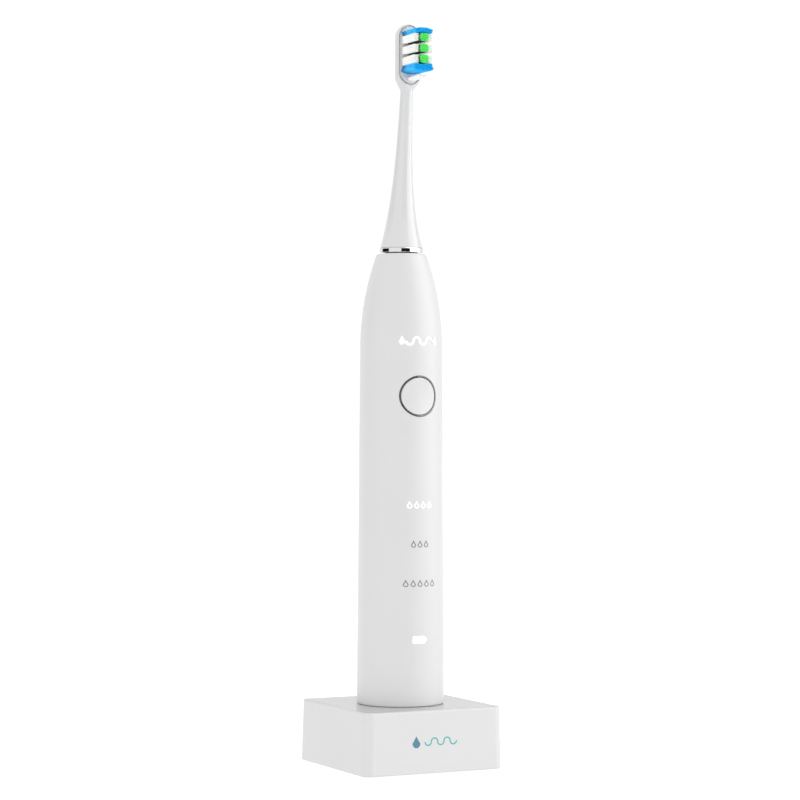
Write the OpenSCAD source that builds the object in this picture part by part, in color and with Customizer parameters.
// Electric toothbrush standing on a square inductive charging base.
// Millimetres, +Z up. The origin is the centre of the base's footprint on the surface it stands on.
// The front, with the button and the bristles, faces -Y. The charging lead's inlet is at the rear.

/* [Charging base] */
// Width of the square base across its top
base_w = 50; // [47:0.5:60]
// Height of the base housing from its underside to its rim
base_h = 20.3; // [19:0.1:24]
// How far each side stands out further at the bottom than at the top
base_draft = 0.5; // [0.1:0.05:0.8]
// Radius of the base's upright corners at the top
base_corner_r = 3.2; // [3:0.1:6]
// Chamfer round the base's top edge
base_edge = 0.5; // [0.2:0.1:0.7]
// Wall thickness of the base housing
base_wall = 1.8; // [1.4:0.1:2.2]
// Width of the housing's rim round the glossy plate
plate_rim = 1; // [0.8:0.1:1.6]
// Thickness of the glossy plate
plate_t = 1.6; // [1.2:0.1:2]
// Thickness of the deck that carries the plate
deck_t = 1.5; // [1.2:0.1:2]
// Thickness of the bottom cover
cover_t = 1.6; // [1.4:0.1:2]
// How far the rubber feet stand out below the base
foot_proud = 0.3; // [0.3:0.1:1]
// Radius of a rubber foot
foot_r = 4; // [3:0.1:4.4]
// Radius of the charging post
post_r = 3.8; // [3.6:0.1:4.6]
// Height of the charging post above the plate
post_h = 14; // [12:0.5:17]

/* [Handle] */
// Length of the handle from its foot to its top face
handle_len = 149.3; // [148:0.1:182]
// Radius of the handle at its foot
handle_r_foot = 14.5; // [14.3:0.05:16]
// Radius of the handle where its shoulder begins
handle_r_waist = 13.65; // [13.5:0.05:15]
// Radius of the handle's top face
handle_r_top = 8.25; // [7.8:0.05:9]
// Height of the shoulder below the top face
shoulder_len = 31.3; // [28:0.1:34]
// Wall thickness of the handle shell
handle_wall = 1.7; // [1.4:0.05:1.8]
// Outer radius of the bright ring round the button
ring_r = 6.8; // [5.6:0.05:7]
// Radial width of the bright ring
ring_w = 0.5; // [0.4:0.05:0.8]
// Distance from the button's centre down to the shoulder's lower end, negative when below it
button_drop = 16.1; // [15:0.1:18]
// How far the button goes in
button_travel = 0.5; // [0.2:0.05:0.6]
// Distance from the button's centre down to the first mode light
mode_drop = 35.6; // [30:0.1:40]
// Distance between two mode lights
mode_pitch = 12.9; // [10:0.1:14]
// Distance from the last mode light down to the battery light
battery_light_drop = 18.5; // [12:0.1:20]

/* [Drive] */
// Radius of the drive shaft
shaft_r = 1.9; // [1.6:0.05:2.3]
// How far the drive shaft stands out of the handle
shaft_proud = 17; // [15:0.5:20]
// Radius of the motor can
motor_r = 7; // [6.8:0.1:7.4]
// Length of the motor can
motor_len = 40; // [38:0.5:44]
// Radius of the battery cell, a standard 14500
cell_r = 7; // [6.8:0.1:7.2]
// Length of the battery cell
cell_len = 50; // [48:0.5:50.5]

/* [Brush head] */
// Length of the brush head
head_len = 75.7; // [70:0.1:80]
// Height of the bright ring at the brush head's foot
head_ring_h = 1.6; // [1.2:0.1:2.4]
// Radius of the bright ring
head_ring_r = 7.25; // [7:0.05:7.6]
// Gap between the handle's top face and the brush head
head_gap = 0.4; // [0.3:0.1:0.8]
// Radius that the neck narrows towards
neck_tip_r = 1.8; // [1.6:0.05:2.2]
// Height in which the neck loses most of its extra radius
neck_fall = 19; // [17:0.5:22]
// How far the neck's centre line has come forward where the paddle begins
neck_lean = 3.7; // [3:0.1:4.2]
// Width of the bristle paddle
paddle_w = 8.9; // [8.6:0.1:11]
// Height of the bristle paddle
paddle_len = 20; // [19.5:0.1:22]
// Thickness of the bristle paddle
paddle_t = 3.7; // [3:0.1:4]
// Distance from the handle's axis forward to the bristle face
face_y = 6.3; // [5.8:0.1:6.8]
// Length of the white bristles in front of the paddle
bristle_len = 9.4; // [8:0.1:11]
// How much longer the green bristles are
green_extra = 1.2; // [0:0.1:1.5]
// How much longer the blue bristles are
blue_extra = 0.4; // [0:0.1:1.5]
// Distance between two rows of tufts
row_pitch = 3.55; // [3.5:0.05:3.8]

/* [Hidden] */
$fn = 64;
cut = 1;
hairline = 0.05;
small_gap = 0.1;

// Heights in the base, from the standing surface
base_z0 = foot_proud;
base_top = base_z0 + base_h;
plate_z0 = base_top - plate_t;
deck_z0 = plate_z0 - deck_t;
cover_top = base_z0 + cover_t;
corner_axis = base_w / 2 - base_corner_r;
foot_recess = 0.6;
standoff_h = 2.2;
board_z0 = cover_top + standoff_h;
board_t = 1.2;
board_top = board_z0 + board_t;
boss_r = 3.2;
boss_at = base_w / 2 - base_wall - boss_r - 1.5;
screw_r = 1.1;
screw_head_r = 2.3;
screw_head_h = 1.2;
screw_len = 10;
screw_head_z = base_z0 + foot_recess + 0.1;
screw_tip = screw_head_z + screw_head_h + screw_len;
post_flange_t = 1.2;
post_flange_r = post_r + 2.7;
post_wall = 1.1;
flange_z0 = deck_z0 - post_flange_t;
core_r = post_r - post_wall - 0.3;
bobbin_hub_r = core_r + 1.1;
bobbin_r = post_flange_r + 2.5;
bobbin_flange_t = 0.8;
port_w = 8.94;
port_h = 3.26;
port_len = 7.3;
port_wall = 0.3;
port_z = board_top + port_h / 2;
port_y1 = base_w / 2 - 0.3;

// Heights in the handle, from its foot
stand_gap = hairline;
handle_z0 = base_top + stand_gap;
foot_edge = 0.5;
shoulder_z = handle_len - shoulder_len;
shoulder_drop = handle_r_waist - handle_r_top;
shoulder_bend = (pow(shoulder_len, 2) + pow(shoulder_drop, 2)) / (2 * shoulder_drop);
top_edge = 0.35;
top_t = 2.4;
socket_gap = 0.5;
socket_r = post_r + socket_gap;
socket_depth = post_h + 1.6;
socket_wall = 1.2;
cap_floor = 2.2;
cap_h = 7;
cap_skirt = 1.8;
cap_r = handle_r_foot - handle_wall - 0.15;
oring_r = 0.65;
oring_z = 4.7;
oring_out = handle_r(oring_z) - handle_wall;
groove_r = oring_out - 2 * oring_r - 0.03;
winding_gap = hairline;
frame_r = handle_r_waist - handle_wall - 0.25;
frame_wall = 1.3;
frame_z0 = socket_depth + socket_wall + 2;
frame_z1 = shoulder_z + 4;
rib_t = 1.6;
cell_z0 = frame_z0 + rib_t + 0.3;
cell_z1 = cell_z0 + cell_len;
motor_z1 = frame_z1 + 2;
motor_z0 = motor_z1 - motor_len;
can_wall = 0.5;
button_z = shoulder_z - button_drop;
ring_seat = 0.8;
handle_r_button = handle_r_foot - (handle_r_foot - handle_r_waist) * button_z / shoulder_z;
ring_back = sqrt(pow(handle_r_button, 2) - pow(ring_r, 2)) - ring_seat;
button_r = ring_r - ring_w - 0.15;
flange_front = ring_back - hairline;
flange_t = 0.6;
flange_back = flange_front - flange_t;
stem_front = flange_back - button_travel - 0.15;
switch_h = 1.25;
switch_w = 4.5;
circuit_front = stem_front - switch_h;
circuit_t = 1;
circuit_back = circuit_front - circuit_t;
circuit_w = 13;
circuit_z0 = frame_z0 + rib_t + 0.2;
circuit_z1 = button_z + 9;
first_light = button_z - mode_drop;
lights = [for (n = [0:2]) first_light - n * mode_pitch];
all_lights = concat(lights, [first_light - 2 * mode_pitch - battery_light_drop]);
guide_front = circuit_front + 2.4;
guide_w = 8;

// Drive, from the handle's foot
run_gap = 0.05;
bearing_t = 4;
bearing_z0 = motor_z0 + 1;
shaft_z0 = bearing_z0;
shaft_z1 = handle_len + shaft_proud;
flat_len = 11;
flat_depth = 0.45;
groove_z = shaft_z1 - 4;
groove_w = 1;
groove_depth = 0.35;
rotor_r = 3.6;
rotor_len = 20;
rotor_z0 = motor_z0 + (motor_len - rotor_len) / 2;
magnet_t = 0.9;
pole_face = rotor_r + 0.35;
stator_r = motor_r - can_wall;
yoke_t = 1.3;
torsion_r = 0.9;
torsion_len = 7;
clamp_t = 3;
seal_r = 6;
nose_bore = 4.2;

// Brush head, from its own foot
head_z0 = handle_z0 + handle_len + head_gap;
neck_z0 = head_ring_h;
neck_base_r = head_ring_r - 0.15;
neck_straight = 10;
paddle_z0 = head_len - paddle_len;
neck_end = paddle_z0 - 2.5;
blend_end = paddle_z0 + 2;
tip_round = paddle_w / 2;
coupler_r = shaft_r + 0.75;
coupler_flange_r = 5.4;
coupler_top = shaft_proud - head_gap + 1.6;
bore_r = shaft_r + run_gap;
clip_h = 1;
rows_mid = paddle_z0 + 10.75;
tuft_w = 1.9;
tuft_h = 2.6;
tuft_edge = 3.53;
tuft_root = 2;
green_w = 2.8;
arc_in = 8.25;
arc_top_w = 1.5;
arc_foot_w = 2.2;
arc_angle = 20;
arc_in_apex = 5.35;

// ---- Shared shapes ----

// Corner radius of the base's outside at height z
function base_r(z) = base_corner_r + base_draft * (base_top - z) / base_h;

// Outer radius of the handle at height z above its foot
function handle_r(z) =
  z < shoulder_z
    ? handle_r_foot - (handle_r_foot - handle_r_waist) * z / shoulder_z
    : handle_r_waist - shoulder_bend + sqrt(pow(shoulder_bend, 2) - pow(z - shoulder_z, 2));

// Square block with rounded corners, r_low at z_low and r_high at z_high, about the fixed corner axes
module rounded_block(r_low, r_high, z_low, z_high) {
  for (sx = [-1, 1], sy = [-1, 1])
    translate([sx * corner_axis, sy * corner_axis, z_low])
      cylinder(h = z_high - z_low, r1 = r_low, r2 = r_high);
  for (turn = [0, 90])
    rotate([0, 0, turn])
      rotate([90, 0, 90])
        translate([0, 0, -corner_axis])
          linear_extrude(2 * corner_axis)
            polygon([
              [-(corner_axis + r_low), z_low], [corner_axis + r_low, z_low],
              [corner_axis + r_high, z_high], [-(corner_axis + r_high), z_high]
            ]);
}

// Ring or disc of one section, from z_low to z_high
module ring(r_in, r_out, z_low, z_high) {
  rotate_extrude()
    translate([r_in, z_low])
      square([r_out - r_in, z_high - z_low]);
}

// Flat slot shape with round ends
module slot_shape(w, h) {
  square([w - h, h], center = true);
  for (side = [-1, 1])
    translate([side * (w - h) / 2, 0])
      circle(d = h);
}

// The four screw places in the base
module at_screws() {
  for (sx = [-1, 1], sy = [-1, 1])
    translate([sx * boss_at, sy * boss_at, 0])
      children();
}

// Cylinder that points forward, from y_near to y_far in front of the axis, at the button's height
module forward_cylinder(r, y_near, y_far) {
  translate([0, -y_near, button_z])
    rotate([90, 0, 0])
      cylinder(h = y_far - y_near, r = r);
}

// Solid of the handle's outside near the button, grown by some thickness
module handle_round(grow) {
  z_low = button_z - ring_r - 2;
  z_high = button_z + ring_r + 2;
  translate([0, 0, z_low])
    cylinder(h = z_high - z_low, r1 = handle_r(z_low) + grow, r2 = handle_r(z_high) + grow);
}

module in_handle() {
  translate([0, 0, handle_z0])
    children();
}

module in_head() {
  translate([0, 0, head_z0])
    children();
}

// ---- Charging base ----

module base_housing() {
  edge_z = base_top - base_edge;
  plate_r = base_corner_r - plate_rim;
  color("white")
    difference() {
      union() {
        difference() {
          union() {
            rounded_block(base_r(base_z0), base_r(edge_z), base_z0, edge_z);
            rounded_block(base_r(edge_z), base_r(edge_z) - base_edge, edge_z, base_top);
          }
          rounded_block(plate_r, plate_r, plate_z0, base_top + cut);
          rounded_block(
            base_r(base_z0 - cut) - base_wall, base_r(deck_z0) - base_wall, base_z0 - cut, deck_z0
          );
        }
        at_screws()
          translate([0, 0, board_top])
            cylinder(h = deck_z0 - board_top, r = boss_r);
      }
      at_screws()
        translate([0, 0, board_top - cut])
          cylinder(h = screw_tip + 0.3 - (board_top - cut), r = screw_r);
      cylinder(h = base_top + cut, r = post_r + hairline);
      translate([0, base_w / 2 + cut + base_draft, port_z])
        rotate([90, 0, 0])
          linear_extrude(base_wall + 2 * cut)
            slot_shape(port_w + 0.6, port_h + 0.6);
    }
}

module base_top_plate() {
  plate_r = base_corner_r - plate_rim - small_gap;
  color("white")
    difference() {
      rounded_block(plate_r, plate_r, plate_z0, base_top);
      cylinder(h = base_top + cut, r = post_r + hairline);
    }
}

module charging_post() {
  top = base_top + post_h;
  dome = 1.4;
  color("whitesmoke")
    rotate_extrude()
      difference() {
        union() {
          translate([0, flange_z0])
            square([post_flange_r, post_flange_t]);
          translate([0, flange_z0])
            square([post_r, top - dome - flange_z0]);
          translate([0, flange_z0])
            square([post_r - dome, top - flange_z0]);
          translate([post_r - dome, top - dome])
            circle(r = dome);
        }
        translate([-post_r, flange_z0 - cut])
          square([2 * post_r - post_wall, post_h + cut + base_top - flange_z0 - 1.8]);
        translate([-2 * post_r, 0])
          square([2 * post_r, top + cut]);
      }
}

module ferrite_core() {
  color("dimgray")
    translate([0, 0, board_top + 0.3])
      cylinder(h = base_top + post_h - 2.4 - board_top, r = core_r);
}

module coil_bobbin() {
  color("ivory")
    difference() {
      union() {
        ring(core_r + small_gap, bobbin_hub_r, board_top, flange_z0);
        ring(core_r + small_gap, bobbin_r, board_top, board_top + bobbin_flange_t);
        ring(core_r + small_gap, bobbin_r, flange_z0 - bobbin_flange_t, flange_z0);
      }
      translate([bobbin_hub_r + 0.6, -0.6, board_top - cut])
        cube([bobbin_r, 1.2, bobbin_flange_t + 2 * cut]);
    }
}

module primary_coil() {
  color("peru")
    ring(
      bobbin_hub_r + winding_gap, bobbin_r - 0.8,
      board_top + bobbin_flange_t + winding_gap, flange_z0 - bobbin_flange_t - winding_gap
    );
}

module base_board() {
  board_half = corner_axis - 0.8;
  color("seagreen")
    difference() {
      translate([-board_half, -board_half, board_z0])
        cube([2 * board_half, 2 * board_half, board_t]);
      at_screws()
        translate([0, 0, board_z0 - cut])
          cylinder(h = board_t + 2 * cut, r = screw_r + 0.4);
    }
}

// Blocks and round cans on the base's board: chip, resonant capacitors, regulator, inductor
module base_board_parts() {
  reach = bobbin_r + 4;
  color("black") {
    translate([-reach - 2.5, -3, board_top])
      cube([5, 6, 1.4]);
    translate([-4, -reach - 2, board_top])
      cube([8, 4, 2.6]);
    for (side = [-1, 1])
      translate([side * 6, -reach, board_top])
        cylinder(h = 1.1, r = 1.1);
    translate([reach, 0, board_top])
      cylinder(h = 5, r = 3);
    for (row = [-1, 1])
      translate([reach - 1, row * 7, board_top])
        cube([2, 1.2, 0.8]);
  }
}

module inlet_shell() {
  color("silver")
    translate([0, port_y1, port_z])
      rotate([90, 0, 0])
        difference() {
          linear_extrude(port_len)
            slot_shape(port_w, port_h);
          translate([0, 0, -cut])
            linear_extrude(port_len - 0.8 + cut)
              slot_shape(port_w - 2 * port_wall, port_h - 2 * port_wall);
        }
}

module inlet_tongue() {
  color("black")
    translate([-3.35, port_y1 - port_len + 0.8, port_z - 0.35])
      cube([6.7, port_len - 1.6, 0.7]);
}

module bottom_cover() {
  cover_r = base_r(base_z0) - base_wall - 0.15;
  color("gainsboro")
    difference() {
      union() {
        rounded_block(cover_r, cover_r, base_z0, cover_top);
        at_screws()
          translate([0, 0, base_z0])
            cylinder(h = board_z0 - base_z0, r = boss_r);
      }
      at_screws() {
        translate([0, 0, base_z0 - cut])
          cylinder(h = foot_recess + cut, r = foot_r + small_gap);
        translate([0, 0, base_z0])
          cylinder(h = foot_recess + screw_head_h + 0.1, r = screw_head_r + small_gap);
        translate([0, 0, base_z0])
          cylinder(h = board_z0, r = screw_r + 0.2);
      }
    }
}

module base_screws() {
  color("silver")
    at_screws()
      translate([0, 0, screw_head_z]) {
        difference() {
          cylinder(h = screw_head_h, r = screw_head_r);
          for (turn = [0, 90])
            rotate([0, 0, turn])
              translate([-1.5, -0.3, -cut])
                cube([3, 0.6, cut + 0.6]);
        }
        translate([0, 0, screw_head_h])
          cylinder(h = screw_len, r = screw_r);
      }
}

module rubber_feet() {
  color("gray")
    at_screws()
      cylinder(h = foot_proud + foot_recess, r = foot_r);
}

// ---- Handle ----

module handle_shell() {
  steps = 14;
  inner_top = handle_len - top_t;
  shoulder = [for (n = [1:steps]) shoulder_z + (shoulder_len - top_edge) * n / steps];
  inner = [for (n = [steps:-1:1]) shoulder_z + (inner_top - shoulder_z) * n / steps];
  color("white")
    in_handle()
      difference() {
        rotate_extrude()
          polygon(concat(
            [[handle_r(0) - handle_wall, 0], [handle_r(0) - foot_edge, 0], [handle_r(0), foot_edge]],
            [[handle_r(shoulder_z), shoulder_z]],
            [for (z = shoulder) [handle_r(z), z]],
            [[handle_r_top - top_edge, handle_len], [seal_r, handle_len], [seal_r, inner_top]],
            [for (z = inner) [handle_r(z) - handle_wall, z]],
            [[handle_r(shoulder_z) - handle_wall, shoulder_z]]
          ));
        forward_cylinder(ring_r + hairline, circuit_front, handle_r_foot + cut);
      }
}

module end_cap() {
  socket_top = socket_depth + socket_wall;
  groove = 2 * oring_r + 0.2;
  skirt_in = cap_r - cap_skirt;
  color("whitesmoke")
    in_handle()
      rotate_extrude()
        polygon([
          [socket_r, 0], [cap_r, 0],
          [cap_r, oring_z - groove / 2], [groove_r, oring_z - groove / 2],
          [groove_r, oring_z + groove / 2], [cap_r, oring_z + groove / 2],
          [cap_r, cap_h], [skirt_in, cap_h], [skirt_in, cap_floor],
          [socket_r + socket_wall, cap_floor], [socket_r + socket_wall, socket_top],
          [0, socket_top], [0, socket_depth], [socket_r, socket_depth]
        ]);
}

module end_cap_seal() {
  color("dimgray")
    in_handle()
      rotate_extrude()
        translate([oring_out - oring_r, oring_z])
          circle(r = oring_r, $fn = 32);
}

module receiver_bobbin() {
  hub = socket_r + socket_wall + hairline;
  flange_r = cap_r - cap_skirt - 0.3;
  z_low = cap_floor + hairline;
  z_high = socket_depth - 1.5;
  color("ivory")
    in_handle() {
      ring(hub, hub + 0.7, z_low, z_high);
      ring(hub, flange_r, z_low, z_low + 0.8);
      ring(hub, flange_r, z_high - 0.8, z_high);
    }
}

module receiver_coil() {
  hub = socket_r + socket_wall + hairline + 0.7 + winding_gap;
  color("peru")
    in_handle()
      ring(
        hub, cap_r - cap_skirt - 1.1,
        cap_floor + 0.8 + 2 * winding_gap, socket_depth - 2.3 - winding_gap
      );
}

// Disc rib of the inner frame, cut flat in front for the board, with a hole through it
module frame_rib(z, t, hole_r) {
  difference() {
    intersection() {
      translate([0, 0, z])
        cylinder(h = t, r = frame_r);
      translate([-frame_r, -circuit_back, z])
        cube([2 * frame_r, circuit_back + frame_r, t]);
    }
    if (hole_r > 0)
      translate([0, 0, z - cut])
        cylinder(h = t + 2 * cut, r = hole_r);
  }
}

module inner_frame() {
  clamp_z = motor_z0 - clamp_t - 0.6;
  motor_hole = motor_r + 0.02;
  color("slategray")
    in_handle() {
      intersection() {
        ring(frame_r - frame_wall, frame_r, frame_z0, frame_z1);
        translate([-frame_r, -2, frame_z0])
          cube([2 * frame_r, frame_r + 2, frame_z1 - frame_z0]);
      }
      frame_rib(frame_z0, rib_t, 0);
      for (part = [0.2, 0.8])
        frame_rib(cell_z0 + cell_len * part, rib_t, cell_r + 0.02);
      frame_rib(cell_z1 + 0.35, rib_t, 0);
      frame_rib(clamp_z, clamp_t, torsion_r + run_gap);
      for (part = [0.12, 0.75])
        frame_rib(motor_z0 + motor_len * part, rib_t, motor_hole);
      frame_rib(frame_z1 - rib_t, rib_t, motor_hole);
    }
}

module battery_cell() {
  nub_h = 0.8;
  color("steelblue")
    in_handle() {
      translate([0, 0, cell_z0])
        cylinder(h = cell_len - nub_h, r = cell_r);
      translate([0, 0, cell_z1 - nub_h])
        cylinder(h = nub_h, r = 2.6);
    }
}

// Nickel strips welded to the cell's ends, bent forward to the board
module battery_tabs() {
  tab_t = 0.2;
  tab_w = 4;
  color("silver")
    in_handle()
      for (z = [cell_z0 - tab_t, cell_z1])
        translate([-tab_w / 2, -circuit_back, z])
          cube([tab_w, circuit_back + 2, tab_t]);
}

module main_board() {
  color("seagreen")
    in_handle()
      translate([-circuit_w / 2, -circuit_front, circuit_z0])
        cube([circuit_w, circuit_t, circuit_z1 - circuit_z0]);
}

// Chips, coil driver and capacitors on the board's front, clear of the lights and the switch
module main_board_parts() {
  low = lights[0] + 8;
  high = button_z - 6;
  room = high - low;
  color("black")
    in_handle() {
      translate([-2.5, -circuit_front - 1, low])
        cube([5, 1, 5]);
      for (side = [-1, 1], row = [0:2])
        translate([side * 4 - 0.8, -circuit_front - 0.8, low + row * 2.4])
          cube([1.6, 0.8, 1]);
      translate([-1.6, -circuit_front - 1.2, low + room * 0.55])
        cube([3.2, 1.2, room * 0.3]);
    }
}

module tact_switch() {
  body_h = switch_h - 0.25;
  color("silver")
    in_handle() {
      translate([-switch_w / 2, -circuit_front - body_h, button_z - switch_w / 2])
        cube([switch_w, body_h, switch_w]);
      forward_cylinder(1, circuit_front + body_h, stem_front);
    }
}

module indicator_leds() {
  color("lightyellow")
    in_handle()
      for (z = all_lights)
        translate([-0.8, -circuit_front - 0.6, z - 0.4])
          cube([1.6, 0.6, 0.8]);
}

// Black light box between the board and the shell, with one chamber for each light
module light_guide() {
  z_low = min(all_lights) - 4;
  z_high = max(all_lights) + 4;
  color("dimgray")
    in_handle()
      difference() {
        translate([-guide_w / 2, -guide_front, z_low])
          cube([guide_w, guide_front - circuit_front, z_high - z_low]);
        for (z = all_lights)
          translate([-2.6, -guide_front - cut, z - 2])
            cube([5.2, guide_front - circuit_front + 2 * cut, 4]);
      }
}

module button_ring() {
  color("silver")
    in_handle()
      intersection() {
        difference() {
          forward_cylinder(ring_r, ring_back, handle_r_foot + cut);
          forward_cylinder(ring_r - ring_w, ring_back - cut, handle_r_foot + 2 * cut);
        }
        handle_round(0.12);
      }
}

// Silicone gasket that closes the opening behind the button round the switch
module button_gasket() {
  gasket_front = flange_back - button_travel - small_gap;
  // Its front edge meets the shell's inner wall on both sides of the opening
  gasket_r = sqrt(pow(handle_r_button - handle_wall, 2) - pow(gasket_front, 2)) - hairline;
  color("gray")
    in_handle()
      difference() {
        forward_cylinder(gasket_r, gasket_front - 0.5, gasket_front);
        forward_cylinder(switch_w * 0.75, gasket_front - cut, gasket_front + cut);
      }
}

module button_cap() {
  color("white")
    in_handle() {
      intersection() {
        forward_cylinder(button_r, flange_front - flange_t, handle_r_foot + cut);
        handle_round(-hairline);
      }
      forward_cylinder(ring_r - 0.1, flange_back, flange_front);
    }
}

module motor_can() {
  color("silver")
    in_handle()
      rotate_extrude()
        polygon([
          [torsion_r + 0.4, motor_z0], [motor_r, motor_z0], [motor_r, motor_z1],
          [motor_r - can_wall, motor_z1], [motor_r - can_wall, bearing_z0],
          [torsion_r + 0.4, bearing_z0]
        ]);
}

// Laminated yoke with four poles that face the rotor
module stator_core() {
  pole_w = 2.4;
  color("gray")
    in_handle()
      translate([0, 0, rotor_z0])
        linear_extrude(rotor_len) {
          difference() {
            circle(r = stator_r);
            circle(r = stator_r - yoke_t);
          }
          for (turn = [0:90:270])
            rotate(turn + 45)
              translate([pole_face, -pole_w / 2])
                square([stator_r - yoke_t / 2 - pole_face, pole_w]);
        }
}

module stator_coils() {
  coil_t = 0.8;
  inner_w = 2.4 + 2 * hairline;
  coil_x0 = pole_face + 0.15;
  coil_len = stator_r - yoke_t - coil_x0 - 0.55;
  color("peru")
    in_handle()
      for (turn = [0:90:270])
        rotate([0, 0, turn + 45])
          difference() {
            translate([coil_x0, -inner_w / 2 - coil_t, rotor_z0 - coil_t])
              cube([coil_len, inner_w + 2 * coil_t, rotor_len + 2 * coil_t]);
            translate([coil_x0 - cut, -inner_w / 2, rotor_z0 - hairline])
              cube([coil_len + 2 * cut, inner_w, rotor_len + 2 * hairline]);
          }
}

module rear_bearing() {
  color("ivory")
    in_handle()
      ring(shaft_r + run_gap, stator_r, bearing_z0, bearing_z0 + bearing_t);
}

module front_bearing() {
  color("ivory")
    in_handle()
      ring(shaft_r + run_gap, stator_r, motor_z1 - bearing_t, motor_z1);
}

// Stiff cone in the shoulder that carries the seal
module nose_support() {
  steps = 6;
  z_low = motor_z1 + small_gap;
  z_high = handle_len - top_t;
  levels = [for (n = [0:steps]) z_low + (z_high - z_low) * n / steps];
  color("slategray")
    in_handle()
      rotate_extrude()
        polygon(concat(
          [[nose_bore, z_high], [nose_bore, z_high - 2], [motor_r - 1, z_low]],
          [for (z = levels) [handle_r(z) - handle_wall - 0.2, z]]
        ));
}

module shaft_seal() {
  z_low = handle_len - top_t;
  color("darkgray")
    in_handle()
      rotate_extrude()
        polygon([
          [shaft_r + run_gap, z_low + 0.4], [seal_r - hairline, z_low],
          [seal_r - hairline, handle_len - 0.6], [shaft_r + 1.4, handle_len - 0.6],
          [shaft_r + 0.9, handle_len], [shaft_r + run_gap, handle_len]
        ]);
}

// ---- Drive ----

module drive_shaft() {
  tip = 0.3;
  color("silver")
    in_handle()
      difference() {
        rotate_extrude()
          polygon([
            [0, shaft_z0], [shaft_r, shaft_z0], [shaft_r, groove_z],
            [shaft_r - groove_depth, groove_z], [shaft_r - groove_depth, groove_z + groove_w],
            [shaft_r, groove_z + groove_w], [shaft_r, shaft_z1 - tip],
            [shaft_r - tip, shaft_z1], [0, shaft_z1]
          ]);
        translate([-shaft_r, shaft_r - flat_depth, shaft_z1 - flat_len])
          cube([2 * shaft_r, shaft_r, flat_len + cut]);
      }
}

module rotor_core() {
  color("gray")
    in_handle()
      ring(shaft_r, rotor_r - magnet_t, rotor_z0, rotor_z0 + rotor_len);
}

module rotor_magnets() {
  color("dimgray")
    in_handle()
      for (turn = [0:90:270])
        rotate([0, 0, turn])
          rotate_extrude(angle = 80)
            translate([rotor_r - magnet_t, rotor_z0])
              square([magnet_t, rotor_len]);
}

// Spring steel bar that brings the shaft back to its middle
module torsion_bar() {
  color("silver")
    in_handle()
      translate([0, 0, shaft_z0 - torsion_len])
        cylinder(h = torsion_len, r = torsion_r);
}

// ---- Brush head ----

function smooth(t) = t <= 0 ? 0 : t >= 1 ? 1 : t * t * (3 - 2 * t);

function neck_r(h) = neck_tip_r + (neck_base_r - neck_tip_r) * exp(-(h - neck_z0) / neck_fall);

function neck_y(h) = h < neck_straight ? 0 : neck_lean * pow((h - neck_straight) / (neck_end - neck_straight), 1.15);

function mix(a, b, t) = a + (b - a) * t;

// Half width, half thickness, centre and squareness of the head's section at height h
function section(h) =
  let (
    blend = smooth((h - neck_end) / (blend_end - neck_end)),
    into_tip = h - (head_len - tip_round),
    tip_scale = into_tip <= 0 ? 1 : sqrt(max(0.004, 1 - pow(into_tip / tip_round, 2))),
    neck = min(h, neck_end)
  ) [
    mix(neck_r(neck), paddle_w / 2, blend) * tip_scale,
    mix(neck_r(neck), paddle_t / 2, blend),
    mix(neck_y(neck), face_y - paddle_t / 2, blend),
    mix(2, 3.4, blend)
  ];

function signed_pow(v, p) = sign(v) * pow(abs(v), p);

// One closed outline of the head at height h, as a superellipse
function outline(h, sides) =
  let (s = section(h))
    [for (n = [0:sides - 1])
      let (a = 360 * n / sides)
        [
          s[0] * signed_pow(cos(a), 2 / s[3]),
          -s[2] + s[1] * signed_pow(sin(a), 2 / s[3]),
          h
        ]];

// Solid through a stack of outlines with the same number of points
module loft(levels, sides) {
  rings = len(levels);
  points = [for (h = levels) each outline(h, sides)];
  walls = [
    for (k = [0:rings - 2], n = [0:sides - 1])
      let (a = k * sides + n, b = k * sides + (n + 1) % sides)
        each [[a, b, b + sides], [a, b + sides, a + sides]]
  ];
  foot = [for (n = [1:sides - 2]) [0, n + 1, n]];
  last = (rings - 1) * sides;
  top = [for (n = [1:sides - 2]) [last, last + n, last + n + 1]];
  polyhedron(points, concat(walls, foot, top), convexity = 4);
}

// Flat outline of one straight tuft, x across and y up
module tuft_outline(x, h, w, tall) {
  r = min(w, tall) / 2 - 0.01;
  translate([x, h]) {
    square([w - 2 * r, tall], center = true);
    square([w, tall - 2 * r], center = true);
    for (sx = [-1, 1], sy = [-1, 1])
      translate([sx * (w / 2 - r), sy * (tall / 2 - r)])
        circle(r = r, $fn = 24);
  }
}

// Outline of a curved tuft: part of a ring of inner radius arc_in, its apex up or down
module arc_outline(apex_up, w) {
  turn = apex_up ? 90 : -90;
  translate([0, rows_mid + (apex_up ? 1 : -1) * (arc_in_apex - arc_in)])
    intersection() {
      difference() {
        circle(r = arc_in + w);
        circle(r = arc_in);
      }
      polygon([
        [0, 0],
        [30 * cos(turn - arc_angle), 30 * sin(turn - arc_angle)],
        [30 * cos(turn + arc_angle), 30 * sin(turn + arc_angle)]
      ]);
    }
}

// Pushes an outline forward from the root in the paddle to its bristles' ends
module brush_out(extra, root_gap = 0) {
  translate([0, -(face_y - tuft_root), 0])
    rotate([90, 0, 0])
      linear_extrude(tuft_root + bristle_len + extra + root_gap)
        children();
}

module side_outlines(grow = 0) {
  for (side = [-1, 1], row = [-1:1])
    tuft_outline(side * (tuft_edge - tuft_w / 2), rows_mid + row * row_pitch, tuft_w + grow, tuft_h + grow);
}

module centre_outlines(grow = 0) {
  for (row = [-1:1])
    tuft_outline(0, rows_mid + row * row_pitch, green_w + grow, tuft_h + grow);
}

module foot_outline(grow = 0) {
  tuft_outline(0, rows_mid - 9.15, 2.8 + grow, 1.1 + grow);
}

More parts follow.
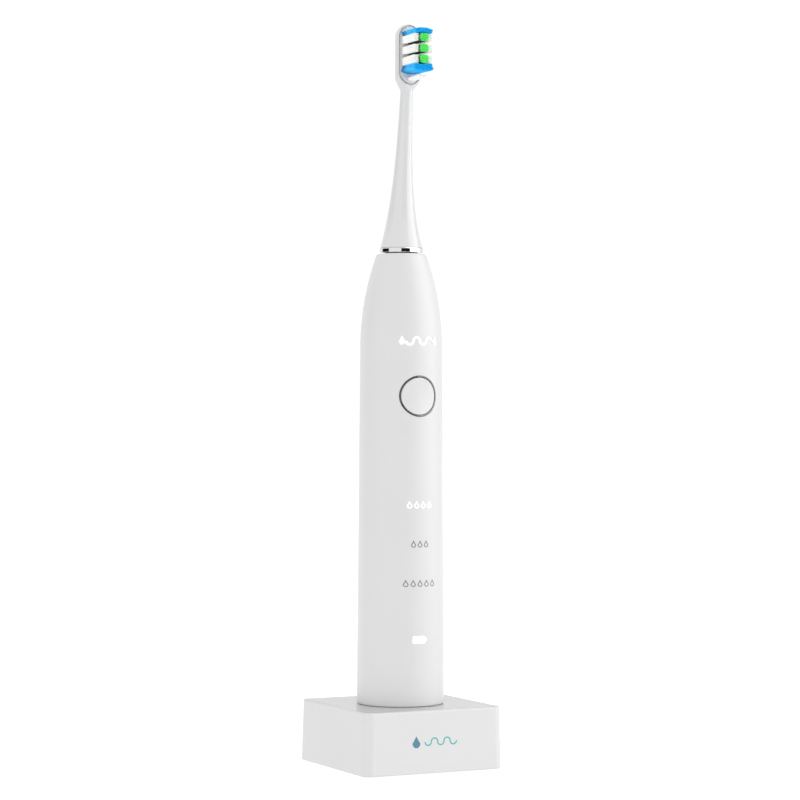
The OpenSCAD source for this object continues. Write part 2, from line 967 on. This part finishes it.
module head_ring() {
  color("silver")
    in_head()
      rotate_extrude()
        polygon([
          [coupler_flange_r + hairline, 0], [head_ring_r - 0.3, 0], [head_ring_r, 0.3],
          [head_ring_r, head_ring_h - 0.3], [head_ring_r - 0.3, head_ring_h],
          [coupler_flange_r + hairline, head_ring_h]
        ]);
}

module head_body() {
  neck_levels = [for (n = [0:15]) neck_z0 + (neck_end - neck_z0) * n / 15];
  blend_levels = [for (n = [1:6]) neck_end + (blend_end - neck_end) * n / 6];
  tip_levels = [for (n = [0:8]) head_len - tip_round + tip_round * sin(90 * n / 8)];
  color("white")
    in_head()
      difference() {
        loft(concat(neck_levels, blend_levels, tip_levels), 40);
        translate([0, 0, neck_z0 - cut])
          cylinder(h = coupler_top - neck_z0 + cut, r = coupler_r);
        brush_out(0) {
          side_outlines(small_gap);
          centre_outlines(small_gap);
          foot_outline(small_gap);
        }
        brush_out(0)
          arc_outline(true, arc_top_w);
        brush_out(0)
          arc_outline(false, arc_foot_w);
      }
}

// Insert that grips the drive shaft, with a flat that keys the head's direction
module head_coupler() {
  flat_z0 = shaft_proud - head_gap - flat_len;
  color("lightgray")
    in_head()
      difference() {
        union() {
          cylinder(h = neck_z0, r = coupler_flange_r);
          cylinder(h = coupler_top, r = coupler_r);
        }
        difference() {
          translate([0, 0, -cut])
            cylinder(h = coupler_top - 1 + cut, r = bore_r);
          translate([-bore_r, bore_r - flat_depth, flat_z0 + 0.2])
            cube([2 * bore_r, bore_r, flat_len + cut + 2]);
        }
        ring(bore_r, coupler_r + cut, clip_low(), clip_low() + clip_h);
      }
}

function clip_low() = groove_z - handle_len - head_gap;

// Sprung steel clip that drops into the shaft's groove
module head_clip() {
  color("silver")
    in_head()
      rotate([0, 0, 110])
        rotate_extrude(angle = 320)
          translate([bore_r, clip_low() + hairline])
            square([coupler_r - bore_r - hairline, clip_h - 2 * hairline]);
}

module side_tufts() {
  color("white")
    in_head()
      brush_out(0)
        side_outlines();
}

module centre_tufts() {
  color("limegreen")
    in_head()
      brush_out(green_extra)
        centre_outlines();
}

module foot_tuft() {
  color("white")
    in_head()
      brush_out(0)
        foot_outline();
}

module top_arc_tuft() {
  color("deepskyblue")
    in_head()
      brush_out(blue_extra)
        arc_outline(true, arc_top_w);
}

module foot_arc_tuft() {
  color("deepskyblue")
    in_head()
      brush_out(blue_extra)
        arc_outline(false, arc_foot_w);
}

base_housing();
base_top_plate();
charging_post();
ferrite_core();
coil_bobbin();
primary_coil();
base_board();
base_board_parts();
inlet_shell();
inlet_tongue();
bottom_cover();
base_screws();
rubber_feet();
handle_shell();
end_cap();
end_cap_seal();
receiver_bobbin();
receiver_coil();
inner_frame();
battery_cell();
battery_tabs();
main_board();
main_board_parts();
tact_switch();
indicator_leds();
light_guide();
button_ring();
button_gasket();
motor_can();
stator_core();
stator_coils();
rear_bearing();
front_bearing();
nose_support();
shaft_seal();
button_cap();
drive_shaft();
rotor_core();
rotor_magnets();
torsion_bar();
head_ring();
head_body();
head_coupler();
head_clip();
side_tufts();
centre_tufts();
foot_tuft();
top_arc_tuft();
foot_arc_tuft();
